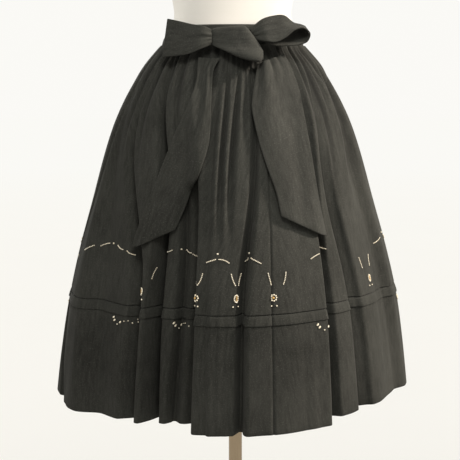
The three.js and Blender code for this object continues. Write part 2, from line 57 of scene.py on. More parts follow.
GARMENT_X = -5
WAIST_Z = 1000
BAND_HEIGHT = 32
BAND_CLEARANCE = 0.6
CLOTH = 1.8
SASH_CLOTH = 2.4
SEAM_GAP = 0.3
SASH_OUTSIDE = BAND_CLEARANCE + 2 * SASH_CLOTH + SEAM_GAP
TUCK_DROP = 401
TUCK_HEIGHT = 15
HEM_DROP = 573
LOWER_TOP_DROP = TUCK_DROP + 4

# Half width and half depth of the spread skirt at each drop from the waist
ENVELOPE = table(
    "drop side front",
    (0, 121, 93),
    (12, 132, 104),
    (30, 147, 120),
    (50, 160, 137),
    (90, 182, 164),
    (130, 200, 186),
    (180, 217, 209),
    (253, 238, 235),
    (336, 262, 260),
    (419, 281, 283),
    (501, 293, 297),
    (590, 303, 309),
)

# Depth and width of an ordinary valley between two flutes
VALLEY = table(
    "drop depth width",
    (0, 5, 5),
    (30, 10, 8),
    (90, 18, 12),
    (180, 26, 16),
    (280, 31, 18),
    (370, 34, 20),
    (470, 37, 22),
    (590, 40, 24),
)

# The valley on the left of each flute, in degrees from the front, at the waist, hip, tuck and hem.
# A seam is a row with no width; fade is the drop at which a short valley has run out.
ANGLE_DROPS = (0, 180, 370, 570)
FOLDS = table(
    "waist hip tuck hem deep wide lean out fade",
    (-98, -97, -96, -95, 0.9, 0.9, 0.3, -2, 0),
    (-84, -86, -90, -86, 0, 0, 0, -2, 0),
    (-71, -75, -83, -73.5, 0.6, 1.1, 0.2, -2, 0),
    (-63, -66, -58, -50, 0, 2.2, 0, -34, 0),
    (-56, -54, -39.5, -38.5, 0.8, 1.1, 0.25, -34, 0),
    (-46.5, -33, -32.2, -30.6, 1, 0.8, -0.2, -54, 0),
    (-37, -24.5, -21.6, -22.8, 0.25, 0.7, -0.2, -66, 0),
    (-29, -17.5, -14.6, -15.2, 0.2, 0.8, 0.3, -10, 0),
    (-7.2, -8.6, -9, -8.5, 0.3, 0.9, 0, -4, 330),
    (-2, -4.6, -5.5, -5.5, 0.7, 0.6, 0, -4, 330),
    (5.5, -0.8, -1.6, -2.4, 0.7, 0.6, 0, -4, 330),
    (10.5, 9, 3, 1.5, 0.55, 0.6, 0.3, 3, 0),
    (17, 14.5, 12.2, 11.5, 0, 0, 0, 3, 0),
    (30, 25, 23.5, 24, 0.4, 0.9, 0, 1, 330),
    (42, 36, 34.6, 33.6, 0.9, 1, -0.4, -24, 0),
    (54, 44.6, 48.6, 49.5, 0.5, 1, -0.4, -20, 0),
    (74, 66, 68, 70, 0.5, 1.6, 0, -4, 330),
    (93, 91, 92, 91, 0.8, 0.9, 0.3, -2, 0),
    (101, 99, 99, 99, 0, 0, 0, -2, 0),
    (108, 106, 106, 107, 0.9, 0.8, -0.4, -32, 0),
    (121, 119, 118, 119, 0.75, 0.9, 0.3, -12, 0),
    (134, 132, 131, 133, 1, 0.8, 0.4, -40, 0),
    (146, 145, 145, 144, 0.8, 0.8, -0.3, -18, 0),
    (157, 158, 157, 156, 0.9, 0.9, 0.4, 0, 0),
    (171, 171, 170, 169, 0.7, 0.8, -0.3, -6, 0),
    (183, 182, 181, 180, 0.9, 0.8, 0.3, -34, 0),
    (191, 190, 190, 190, 0, 0, 0, -34, 0),
    (200, 200, 199, 199, 0.85, 0.9, -0.4, -20, 0),
    (213, 213, 212, 213, 1, 0.8, 0.3, -44, 0),
    (226, 227, 227, 225, 0.8, 0.8, -0.3, -14, 0),
    (239, 239, 239, 240, 0.9, 0.9, 0.4, -36, 0),
    (251, 251, 250, 252, 0.8, 0.8, -0.3, -10, 0),
)
COUNT = len(FOLDS["waist"])
IS_SEAM = FOLDS["wide"] == 0
SEAM_ROWS = [int(i) for i in np.flatnonzero(IS_SEAM)]
FLUTE_CROWN = 3.5
CROWNED_WIDTH = 70
SHORT_GATHER = {"depth": 4.5, "fade": 95, "half_width": 0.2, "least_spread": 8.5}

# The dress form: half width and depth to the front and back at each height
FORM = table(
    "z side front back",
    (700, 150, 104, 116),
    (712, 157, 109, 122),
    (760, 164, 114, 129),
    (810, 165, 116, 133),
    (870, 157, 112, 126),
    (930, 141, 103, 110),
    (975, 123, 92, 94),
    (1000, 114, 85, 85),
    (1032, 102.5, 77, 77),
    (1052, 98, 75, 75),
    (1085, 103, 81, 78),
    (1130, 115, 98, 85),
    (1175, 126, 114, 93),
    (1205, 131, 118, 97),
    (1245, 135, 108, 99),
    (1295, 148, 88, 95),
    (1335, 163, 73, 84),
    (1362, 160, 64, 73),
    (1382, 122, 58, 65),
    (1396, 82, 54, 59),
    (1412, 60, 52, 55),
    (1450, 54, 50, 52),
)


def smooth(t):
    q = np.clip(t, 0, 1)
    return q * q * q * (10 - 15 * q + 6 * q * q)


def look_up(rows, key, column, x):
    """Value of a table's column at x, with a smooth curve through its rows."""
    return through(rows[key], rows[column], x)


def through(keys, values, x):
    """Value at x of a smooth curve through values at their keys."""
    keys = np.asarray(keys, float)
    values = np.asarray(values, float)
    last = len(keys) - 1
    at = np.clip(x, keys[0], keys[-1])
    i = np.clip(np.searchsorted(keys, at) - 1, 0, last - 1)
    after = np.minimum(np.arange(last + 1) + 1, last)
    before = np.maximum(np.arange(last + 1) - 1, 0)
    slope = (values[after] - values[before]) / (keys[after] - keys[before])
    span = keys[i + 1] - keys[i]
    t = (at - keys[i]) / span
    rise = values[i + 1] - values[i]
    bend = (1 - t) * (slope[i] * span - rise) - t * (slope[i + 1] * span - rise)
    return values[i] + rise * t + t * (1 - t) * bend


def bell(distance, width):
    return np.exp(-((distance / width) ** 2))


# Creases finer than the flutes: angle at the waist and at their end, the drops that they
# run between, depth (a ridge where negative) and half width
CREASES = table(
    "top end start stop deep half",
    (-80, -83, 30, 330, 3, 9),
    (-66, -68, 60, 390, 4, 13),
    (-62, -60, 0, 230, 7, 6),
    (-51, -46, 0, 270, 7.5, 7),
    (-42, -31, 0, 250, 7, 6),
    (-33, -25, 0, 200, 6.5, 5),
    (-24, -16, 0, 270, 7, 6.5),
    (-18, -13, 0, 190, 6, 5),
    (-12.5, -11, 0, 260, 6.5, 5),
    (-9.8, -9.5, 0, 160, 5.5, 3.6),
    (-4.8, -7, 0, 160, 5.5, 3.6),
    (1.8, -3, 0, 190, 5.5, 3.8),
    (8, 4, 0, 230, 6, 4.5),
    (13.8, 12, 0, 170, 6, 4.5),
    (21, 19, 0, 190, 4, 5),
    (25.5, 22, 0, 120, 4.5, 4),
    (35, 31, 0, 260, 5.5, 6),
    (38.5, 34, 0, 130, 4, 3.5),
    (47, 40, 0, 240, 6, 5.5),
    (54, 45.5, 0, 350, 9, 7),
    (60, 51, 0, 220, 5.5, 5),
    (66.5, 58, 0, 300, 7.5, 6.5),
    (74, 67, 0, 320, 8, 7),
    (82, 79, 0, 330, 4.5, 9),
    (63, 54, 40, 380, -3, 10),
    (88, 86, 30, 260, 3, 7),
    (114, 112, 0, 260, 4, 8),
    (127, 125, 0, 310, 3.5, 9),
    (140, 138, 20, 230, 4, 8),
    (152, 151, 0, 280, 3.5, 8),
    (164, 166, 0, 340, 4, 10),
    (177, 176, 0, 200, 3.5, 7),
    (195, 195, 10, 290, 3.5, 8),
    (206, 207, 0, 250, 4, 9),
    (219, 220, 0, 330, 3.5, 10),
    (232, 234, 20, 240, 4, 8),
    (245, 246, 0, 290, 3.5, 8),
    (257, 258, 0, 220, 3.5, 7),
)

# Small gathers drawn up under the sash, one every few degrees
SMALL_GATHERS = 74
LEAST_APART = 1.9

# The groove along a sewn seam
SEAM_DEPTH = 2.0
SEAM_HALF_WIDTH = 1.6


def small_gathers():
    """Short gathers all round, uneven, and none beside a row of FOLDS or CREASES."""
    taken = np.concatenate([FOLDS["waist"], CREASES["top"]])
    rows = []
    for k in range(SMALL_GATHERS):
        angle = FOLDS["waist"][0] + 360 * (k + rng.uniform(-0.3, 0.3)) / SMALL_GATHERS
        stop = rng.uniform(28, 105)
        deep = rng.uniform(1.2, 2.4)
        half = rng.uniform(2.4, 3.6)
        if np.min(np.abs(taken - angle)) > LEAST_APART:
            rows.append((angle, angle + rng.uniform(-1, 1), 0, stop, deep, half))
    return table("top end start stop deep half", *rows)


GATHERS = small_gathers()


def flute_start(i):
    while IS_SEAM[i % COUNT]:
        i -= 1
    return i


def flute_end(i):
    i += 1
    while IS_SEAM[i % COUNT]:
        i += 1
    return i


class Cloth:
    """The skirt's cloth at places along FOLDS (columns) and drops from the waist (rows)."""

    def __init__(self, places, drops):
        self.drops = np.asarray(drops, float)
        self.drop = self.drops[:, None]
        row = np.floor(places).astype(int)
        part = (places - row)[None, :]
        self.angles = np.array(
            [
                through(ANGLE_DROPS, [FOLDS[name][i] for name in ("waist", "hip", "tuck", "hem")], self.drops)
                for i in range(COUNT)
            ]
        )
        start = np.array([flute_start(i) for i in row])
        end = np.array([flute_end(i) for i in row])
        left_of_start = np.array([flute_start(i - 1) for i in start])
        self.angle = self.valley_angle(row) * (1 - part) + self.valley_angle(row + 1) * part
        self.side = look_up(ENVELOPE, "drop", "side", self.drop)
        self.front = look_up(ENVELOPE, "drop", "front", self.drop)
        radians = self.angle * DEGREE
        self.reach = np.hypot(self.side * np.sin(radians), self.front * np.cos(radians))
        self.points = self.place(start, end, left_of_start)

    def valley_angle(self, rows):
        return self.angles[rows % COUNT].T + 360 * (rows // COUNT)

    def stand_off(self, rows):
        return FOLDS["out"][rows % COUNT] * smooth((self.drop - 20) / 380)

    def valley_floor(self, rows, before):
        lower = np.minimum(self.stand_off(before), self.stand_off(rows))
        fade = FOLDS["fade"][rows % COUNT]
        run_out = smooth((self.drop - 0.3 * fade) / np.maximum(0.7 * fade, 1))
        kept = np.where(fade > 0, 1 - run_out, 1)
        return lower - FOLDS["deep"][rows % COUNT] * kept * look_up(VALLEY, "drop", "depth", self.drop)

    def crease_depth(self):
        """How far the fine creases press the cloth in."""
        depth = np.zeros_like(self.angle)
        for rows in (CREASES, GATHERS):
            for top, end, start, stop, deep, half in zip(*rows.values()):
                along = np.clip((self.drop - start) / (stop - start), 0, 1)
                fade = smooth((self.drop - start) / 25 + 0.35 * (start == 0)) * (1 - smooth(along))
                apart = (self.angle + 180 - top - (end - top) * along) % 360 - 180
                depth += deep * fade * bell(apart * DEGREE * self.reach, half)
        return depth

    def seam_dip(self):
        depth = np.zeros_like(self.angle)
        for i in SEAM_ROWS:
            apart = (self.angle + 180 - self.valley_angle(np.array([i]))) % 360 - 180
            depth += bell(apart * DEGREE * self.reach, SEAM_HALF_WIDTH)
        return SEAM_DEPTH * depth

    def waver(self):
        """Slow unevenness of hanging cloth, none at the waist."""
        radians = self.angle * DEGREE
        grown = self.drop / HEM_DROP
        slow = np.sin(23 * radians + 2.3 * np.sin(5 * radians) + self.drop / 95)
        fine = np.sin(41 * radians + 1.7 * np.sin(7 * radians) - self.drop / 70)
        return 0.9 * grown * slow + 0.25 * grown * fine

    def place(self, start, end, left_of_start):
        left_angle = self.valley_angle(start)
        right_angle = self.valley_angle(end)
        across = (self.angle - left_angle) / (right_angle - left_angle)
        width = (right_angle - left_angle) * DEGREE * self.reach
        usual = look_up(VALLEY, "drop", "width", self.drop) / width
        left_part = np.minimum(0.5, usual * FOLDS["wide"][start % COUNT])
        right_part = np.minimum(0.5, usual * FOLDS["wide"][end % COUNT])
        near_left = across < 0.5
        crest = self.stand_off(start)
        floor = np.where(
            near_left,
            self.valley_floor(start, left_of_start),
            self.valley_floor(end, start),
        )
        climb = np.where(near_left, smooth(across / left_part), smooth((1 - across) / right_part))
        lean = np.where(near_left, FOLDS["lean"][start % COUNT], FOLDS["lean"][end % COUNT])
        own_part = np.where(near_left, left_part, right_part)
        beside = np.where(near_left, self.stand_off(left_of_start), self.stand_off(end))
        lower_crest = np.minimum(crest, beside)
        away = floor + (crest - floor) * climb
        height = np.where(lower_crest > floor, lower_crest - floor, 1)
        risen = np.where(lower_crest > floor, (away - floor) / height, 1)
        slide = lean * own_part * width * (1 - smooth(risen))
        crown = np.minimum(1, self.drop / HEM_DROP) * FLUTE_CROWN * np.minimum(1, width / CROWNED_WIDTH)
        away = away + crown * (4 * across * (1 - across) - 1) * climb
        spread = self.angles[end % COUNT, 0] + 360 * (end // COUNT)
        spread = spread - self.angles[start % COUNT, 0] - 360 * (start // COUNT)
        near = 1 - np.abs(across - 0.5) / SHORT_GATHER["half_width"]
        waning = 1 - smooth(self.drop / SHORT_GATHER["fade"])
        short = SHORT_GATHER["depth"] * waning * smooth(near)
        away = away - short * (spread > SHORT_GATHER["least_spread"])
        away = away - self.crease_depth() * (0.4 + 0.6 * climb) - self.seam_dip() + self.waver() * climb
        away = np.maximum(away, look_up(LEAST_AWAY, "drop", "away", self.drop))
        turn = self.angle * DEGREE + slide / self.reach
        stretch = 1 + away / self.reach
        # The hem hangs lower in front and on the left
        hang = 10 * np.cos(turn) + 2 * np.cos(2 * turn) - 9 * np.sin(turn)
        x = self.side * stretch * np.sin(turn)
        y = -self.front * stretch * np.cos(turn)
        z = WAIST_Z - (self.drop + hang * self.drop / HEM_DROP)
        return np.stack([x, y, z], axis=-1)


# The cloth keeps clear of the form near the waist
LEAST_AWAY = table("drop away", (0, -4.6), (14, -12), (60, -60), (600, -200))


def normals(points):
    """Outward direction of a grid whose rows run down and whose columns run anticlockwise."""
    down = np.gradient(points, axis=0)
    along = np.gradient(points, axis=1)
    n = np.cross(down, along)
    return n / np.maximum(np.linalg.norm(n, axis=-1, keepdims=True), 1e-9)


def softened(field, passes):
    for _ in range(passes):
        padded = np.pad(field, ((0, 0), (1, 1), (0, 0)), mode="edge")
        field = 0.25 * padded[:, :-2] + 0.5 * padded[:, 1:-1] + 0.25 * padded[:, 2:]
    return field / np.maximum(np.linalg.norm(field, axis=-1, keepdims=True), 1e-9)


def even_places(first, last, count):
    """Places from one seam to the next, evenly spaced along the cloth, and one more at each end."""
    fine = np.linspace(first, last, 2400)
    points = Cloth(fine, [60, 250, TUCK_DROP, HEM_DROP]).points
    steps = np.linalg.norm(np.diff(points, axis=1), axis=-1)
    steps = (steps / steps.sum(axis=1, keepdims=True)).mean(axis=0)
    run = np.concatenate([[0], np.cumsum(steps)])
    inside = np.interp(np.linspace(0, run[-1], count), run, fine)
    step = 0.02
    return np.concatenate([[first - step], inside, [last + step]])


def panel_grid(first, last, drops, offsets, count):
    """Outer and inner points of one panel; offsets holds (inside, outside) for each drop."""
    cloth = Cloth(even_places(first, last, count), drops)
    points = cloth.points
    outward = softened(normals(points), 2)[:, 1:-1]
    along = np.gradient(points, axis=1)[:, 1:-1]
    along /= np.linalg.norm(along, axis=-1, keepdims=True)
    points = points[:, 1:-1].copy()
    points[:, 0] += along[:, 0] * SEAM_GAP / 10
    points[:, -1] -= along[:, -1] * SEAM_GAP / 10
    offsets = np.array(offsets)
    inner = points + outward * offsets[:, 0][:, None, None]
    outer = points + outward * offsets[:, 1][:, None, None]
    steps = np.linalg.norm(np.diff(points, axis=1), axis=-1)
    run = np.concatenate([np.zeros((len(drops), 1)), np.cumsum(steps, axis=1)], axis=1)
    run -= run[:, -1:] / 2
    # How deep the creases press in, carried in the weave so that the wool material can darken its creases as
    # painted shade
    pressed_in = cloth.crease_depth()[:, 1:-1]
    weave = np.stack([run, np.broadcast_to(cloth.drop, run.shape), pressed_in], axis=-1)
    return outer, inner, weave


def quads(rows, columns, wrap=False):
    """Corners of the squares of a grid, facing the side that the columns run right from."""
    r, c = np.meshgrid(np.arange(rows - 1), np.arange(columns if wrap else columns - 1), indexing="ij")
    here = r * columns + c
    beside = r * columns + (c + 1) % columns
    return np.stack([here, here + columns, beside + columns, beside], axis=-1).reshape(-1, 4)


def shell(outer, inner, wrap=False):
    """Points and faces of a closed wall between two grids."""
    rows, columns = outer.shape[:2]
    shift = rows * columns
    outside = quads(rows, columns, wrap)
    inside = quads(rows, columns, wrap)[:, ::-1] + shift
    faces = [outside, inside]
    c = np.arange(columns if wrap else columns - 1)
    beside = (c + 1) % columns
    foot = (rows - 1) * columns
    faces.append(np.stack([c, beside, shift + beside, shift + c], axis=-1))
    faces.append(np.stack([foot + beside, foot + c, shift + foot + c, shift + foot + beside], axis=-1))
    if not wrap:
        left = np.arange(rows - 1) * columns
        right = left + columns - 1
        faces.append(np.stack([left, shift + left, shift + left + columns, left + columns], axis=-1))
        faces.append(np.stack([right, right + columns, shift + right + columns, shift + right], axis=-1))
    points = np.concatenate([outer.reshape(-1, 3), inner.reshape(-1, 3)])
    return points, np.concatenate(faces)


garment = bpy.data.collections.new("garment")
stand = bpy.data.collections.new("stand")
for collection in (garment, stand):
    bpy.context.scene.collection.children.link(collection)


def make_piece(name, points, faces, material, slot, replaced=(), weave=None, x=GARMENT_X, sharp=50):
    """A mesh from points in millimetres and faces of four corners, riding on the one body.

    The weave of a wall is given for its outside only, and repeated for its inside.
    """
    mesh = bpy.data.meshes.new(name)
    mesh.vertices.add(len(points))
    placed = (points + np.array([x, 0, 0])) * MM
    mesh.vertices.foreach_set("co", placed.astype(np.float32).ravel())
    mesh.loops.add(faces.size)
    mesh.loops.foreach_set("vertex_index", faces.astype(np.int32).ravel())
    mesh.polygons.add(len(faces))
    mesh.polygons.foreach_set("loop_start", np.arange(0, faces.size, 4, dtype=np.int32))
    mesh.polygons.foreach_set("loop_total", np.full(len(faces), 4, dtype=np.int32))
    mesh.polygons.foreach_set("use_smooth", np.ones(len(faces), dtype=bool))
    mesh.update(calc_edges=True)
    if weave is not None:
        layer = mesh.attributes.new("weave", "FLOAT_VECTOR", "POINT")
        weave = np.resize(weave, points.shape)
        layer.data.foreach_set("vector", (weave * MM).astype(np.float32).ravel())
    mesh.set_sharp_from_angle(angle=sharp * DEGREE)
    mesh.materials.append(material)
    piece = bpy.data.objects.new(name, mesh)
    (garment if slot in ("wool", "thread") else stand).objects.link(piece)
    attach(piece, BODY)
    if replaced:
        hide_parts(*replaced)
    return piece


class Nodes:
    """Short calls for building a material's nodes."""

    def __init__(self, name):
        self.material = bpy.data.materials.new(name)
        self.material.use_nodes = True
        self.tree = self.material.node_tree
        self.shader = self.tree.nodes["Principled BSDF"]

    def add(self, kind, inputs=None, **settings):
        node = self.tree.nodes.new(kind)
        for key, value in settings.items():
            setattr(node, key, value)
        for key, value in (inputs or {}).items():
            self.connect(value, node.inputs[key])
        return node

    def connect(self, value, socket):
        if isinstance(value, bpy.types.NodeSocket):
            self.tree.links.new(value, socket)
        else:
            socket.default_value = value

    def set(self, **values):
        for key, value in values.items():
            self.connect(value, self.shader.inputs[key.replace("_", " ")])

    def mix(self, amount, a, b):
        node = self.add("ShaderNodeMix", data_type="RGBA")
        self.connect(amount, node.inputs[0])
        self.connect(a, node.inputs[6])
        self.connect(b, node.inputs[7])
        return node.outputs[2]

    def math(self, operation, a, b):
        node = self.add("ShaderNodeMath", operation=operation)
        self.connect(a, node.inputs[0])
        self.connect(b, node.inputs[1])
        return node.outputs[0]

    def average(self, a, b):
        return self.math("ADD", self.math("MULTIPLY", a, 0.5), self.math("MULTIPLY", b, 0.5))

    def remap(self, value, low=0.0, high=1.0, to_low=0.0, to_high=1.0):
        ends = {"From Min": low, "From Max": high, "To Min": to_low, "To Max": to_high}
        return self.add("ShaderNodeMapRange", {"Value": value, **ends}).outputs[0]

    def place(self):
        return self.add("ShaderNodeTexCoord").outputs["Object"]

    def noise(self, vector, scale, detail=2.0):
        node = self.add("ShaderNodeTexNoise", {"Vector": vector, "Scale": scale, "Detail": detail})
        return node.outputs["Fac"]

    def stretch(self, vector, scale):
        node = self.add("ShaderNodeMapping", {"Vector": vector, "Scale": scale})
        return node.outputs["Vector"]

    def wave(self, vector, scale, direction):
        node = self.add(
            "ShaderNodeTexWave",
            {"Vector": vector, "Scale": scale, "Distortion": 0.6, "Detail": 1.0},
            wave_type="BANDS",
            bands_direction=direction,
        )
        return node.outputs["Fac"]

    def bump(self, height, strength, distance):
        node = self.add("ShaderNodeBump", {"Height": height, "Strength": strength, "Distance": distance})
        return node.outputs["Normal"]


def wool_material():
    """Charcoal wool flannel: heathered yarn, a faint weave, a short nap, and painted shade that darkens its
    creases.
    """
    n = Nodes("wool_flannel")
    weave = n.add("ShaderNodeAttribute", attribute_name="weave").outputs["Vector"]
    place = n.place()
    broad = n.noise(place, 9.0, 3.0)
    streak = n.noise(n.stretch(weave, (260.0, 45.0, 1.0)), 1.0, 3.0)
    fleck = n.noise(n.stretch(weave, (760.0, 620.0, 1.0)), 1.0, 2.0)
    dark = (0.0105, 0.0104, 0.0087, 1)
    light = (0.0275, 0.0272, 0.0231, 1)
    base = n.mix(n.remap(n.average(streak, broad), 0.3, 0.7), dark, light)
    flecked = n.remap(fleck, 0.56, 0.74)
    colour = n.mix(n.math("MULTIPLY", flecked, 0.5), base, (0.08, 0.078, 0.068, 1))
    # The third part of the weave is how deep a crease is there, in metres. The modelled creases are
    # shallower than real ones, and this darker colour in them stands in for the missing shadow.
    pressed_in = n.add("ShaderNodeSeparateXYZ", {"Vector": weave}).outputs["Z"]
    shade = n.remap(pressed_in, 0.001, 0.008, 0.0, 0.6)
    colour = n.mix(shade, colour, (0.0025, 0.0025, 0.0022, 1))
    yarn = n.average(n.wave(weave, 640.0, "X"), n.wave(weave, 640.0, "Y"))
    nap = n.noise(n.stretch(weave, (900.0, 900.0, 0.0)), 1.0, 3.0)
    height = n.math("ADD", n.math("MULTIPLY", yarn, 0.4), nap)
    normal = n.bump(height, 0.35, 0.0004)
    n.set(Base_Color=colour, Roughness=0.95, Normal=normal)
    n.set(Sheen_Weight=0.03, Sheen_Roughness=0.45, Sheen_Tint=(0.75, 0.72, 0.66, 1))
    n.set(Specular_IOR_Level=0.08)
    return n.material


def form_material():
    """Cream cotton stretched over the form."""
    n = Nodes("form_cotton")
    place = n.place()
    tone = n.noise(place, 7.0, 3.0)
    colour = n.mix(tone, (0.80, 0.76, 0.69, 1), (0.86, 0.83, 0.77, 1))
    across = n.wave(place, 520.0, "X")
    up = n.wave(place, 520.0, "Z")
    normal = n.bump(n.math("ADD", across, up), 0.2, 0.0003)
    n.set(Base_Color=colour, Roughness=0.85, Normal=normal)
    n.set(Sheen_Weight=0.1, Sheen_Roughness=0.5)
    return n.material


def steel_material():
    """Warm brushed steel of the post and foot."""
    n = Nodes("brushed_steel")
    place = n.place()
    grain = n.noise(n.stretch(place, (900.0, 900.0, 18.0)), 1.0, 2.0)
    colour = n.mix(grain, (0.26, 0.20, 0.13, 1), (0.36, 0.28, 0.19, 1))
    normal = n.bump(grain, 0.12, 0.0002)
    rough = n.remap(grain, to_low=0.26, to_high=0.42)
    n.set(Base_Color=colour, Metallic=1.0, Roughness=rough, Normal=normal)
    return n.material


def bead_material():
    """Pearly cream glass beads."""
    n = Nodes("glass_beads")
    place = n.place()
    tone = n.noise(place, 260.0, 1.0)
    colour = n.mix(tone, (0.72, 0.60, 0.40, 1), (0.92, 0.86, 0.72, 1))
    normal = n.bump(n.noise(place, 900.0, 1.0), 0.1, 0.0002)
    n.set(Base_Color=colour, Roughness=0.22, Normal=normal, Coat_Weight=0.4)
    return n.material


def gold_material():
    """Gold-lined beads at the middle of each flower."""
    n = Nodes("gold_beads")
    place = n.place()
    tone = n.noise(place, 300.0, 1.0)
    colour = n.mix(tone, (0.45, 0.26, 0.08, 1), (0.70, 0.46, 0.18, 1))
    n.set(Base_Color=colour, Metallic=0.7, Roughness=0.3)
    return n.material


def thread_material():
    """Matt sewing thread, a little darker than the cloth."""
    n = Nodes("sewing_thread")
    place = n.place()
    tone = n.noise(place, 1400.0, 1.0)
    colour = n.mix(tone, (0.010, 0.010, 0.009, 1), (0.024, 0.023, 0.020, 1))
    n.set(Base_Color=colour, Roughness=0.7)
    return n.material


WOOL = wool_material()
FORM_COTTON = form_material()
STEEL = steel_material()
BEAD = bead_material()
GOLD = gold_material()
THREAD = thread_material()

PANEL_COLUMNS = 280
UPPER_ROWS = 84
LOWER_ROWS = 26

# How the wall runs through the tuck: millimetres below its stitching, inner and outer offset
TUCK_PROFILE = (
    (-2.4, -0.9, 0.9),
    (-1, -1.2, 0.85),
    (-0.4, -2.4, -0.6),
    (0.2, -2.4, -1.0),
    (0.6, -1.9, -0.2),
    (1.8, -1.1, 0.7),
    (4.6, 0.2, 1.3),
    (8, 1.0, 1.8),
    (11, 1.2, 2.2),
    (14, 1.25, 2.5),
    (15, 1.35, 2.45),
    (15.6, 1.7, 2.2),
)
# An upper panel's grid ends with these rows, and this is the first of them
TUCK_ROW = -len(TUCK_PROFILE)


def upper_drops():
    t = np.linspace(0, 1, UPPER_ROWS)
    return (TUCK_DROP - 4) * (0.35 * t + 0.65 * t * t)


class Surface:
    """Points and directions on a panel's outside, read at a part of its width and a drop."""

    def __init__(self, outer, weave):
        self.outer = outer
        self.normal = normals(outer)
        self.drops = weave[:, 0, 1]
        run = weave[..., 0]
        self.share = (run - run[:, :1]) / np.ptp(run, axis=1)[:, None]

    def read(self, grid, share, drop):
        row = np.interp(drop, self.drops, np.arange(len(self.drops)))
        low = min(int(row), len(self.drops) - 2)
        ends = [
            np.array([np.interp(share, self.share[r], grid[r, :, k]) for k in range(3)])
            for r in (low, low + 1)
        ]
        return ends[0] + (ends[1] - ends[0]) * (row - low)

    def at(self, share, drop):
        normal = self.read(self.normal, share, drop)
        return self.read(self.outer, share, drop), normal / np.linalg.norm(normal)

    def along(self, share, drop, step):
        """Direction of the cloth's width."""
        ahead, _ = self.at(min(share + step, 1), drop)
        behind, _ = self.at(max(share - step, 0), drop)
        return (ahead - behind) / np.linalg.norm(ahead - behind)


def seam_to_seam_angles(first, last):
    places = even_places(first, last, PANEL_COLUMNS)[1:-1]
    return Cloth(places, [TUCK_DROP]).angle[0]


def build_panel(tier, k, seams, drops, offsets):
    outer, inner, weave = panel_grid(*seams, drops, offsets, PANEL_COLUMNS)
    points, faces = shell(outer, inner)
    replaced = [f"{tier}_panel_{k}"]
    return make_piece(f"skirt_{tier}_{k}", points, faces, WOOL, "wool", replaced, weave), weave, outer


def build_panels():
    half = CLOTH / 2
    upper_rows = np.concatenate([upper_drops(), [TUCK_DROP + row[0] for row in TUCK_PROFILE]])
    upper_wall = [(-half, half)] * UPPER_ROWS + [row[1:] for row in TUCK_PROFILE]
    lower_rows = np.concatenate([np.linspace(LOWER_TOP_DROP, HEM_DROP - 1, LOWER_ROWS), [HEM_DROP]])
    lower_wall = [(-half, half)] * LOWER_ROWS + [(-0.4 * half, 0.4 * half)]
    made = []
    for k, seams in enumerate(zip(SEAM_ROWS, [*SEAM_ROWS[1:], SEAM_ROWS[0] + COUNT]), start=1):
        upper, weave, outer = build_panel("upper", k, seams, upper_rows, upper_wall)
        panel = {"width_at_tuck": np.ptp(weave[TUCK_ROW, :, 0]), "surfaces": [Surface(outer, weave)]}
        lower, weave, outer = build_panel("lower", k, seams, lower_rows, lower_wall)
        panel["surfaces"].append(Surface(outer, weave))
        panel["angle"] = seam_to_seam_angles(*seams)
        made.append(panel)
    return made


panels = build_panels()


# Beaded border: a swag hangs between each pair of flowers. These angles at the tuck are the front
# flowers' places in the photo, two of them moved a little. Elsewhere flowers are evenly spaced.
FLOWER_ANGLES = (-81.5, -36.2, -12.2, 0.8, 12.6, 60)
FLOWER_SPACING = 165
FLOWER_RISE = 24
SWAG_HEIGHT = 64
NARROW_SWAG = 90
WIDE_SWAG = 230
BEAD_RADIUS = 0.95
DASH_BEADS = 8
DASH_LENGTH = 17

# One half of a swag, from a flower to the top: share of the half, share of the height, tilt of the
# dash in degrees from level
SWAG_DASHES = table("across up tilt", (0.16, 0.42, 70), (0.66, 0.84, 22))
# Where the spray hangs below each swag in turn, as a share of the swag's width
SPRAY_SHARES = (0.76, 0.62, 0.5, 0.6, 0.32)
# Beads of the spray below the tuck: mm along, mm below the tuck's edge, length of the bead
SPRAY = table(
    "along below size",
    (-27, 3, 2.0),
    (-24, 7, 2.0),
    (-16, 12, 1.5),
    (-9, 8, 1.9),
    (-1, 5.5, 1.2),
    (5, 4.5, 1.2),
    (12, 8, 1.5),
    (20, 3, 1.2),
    (21, 7, 1.2),
)


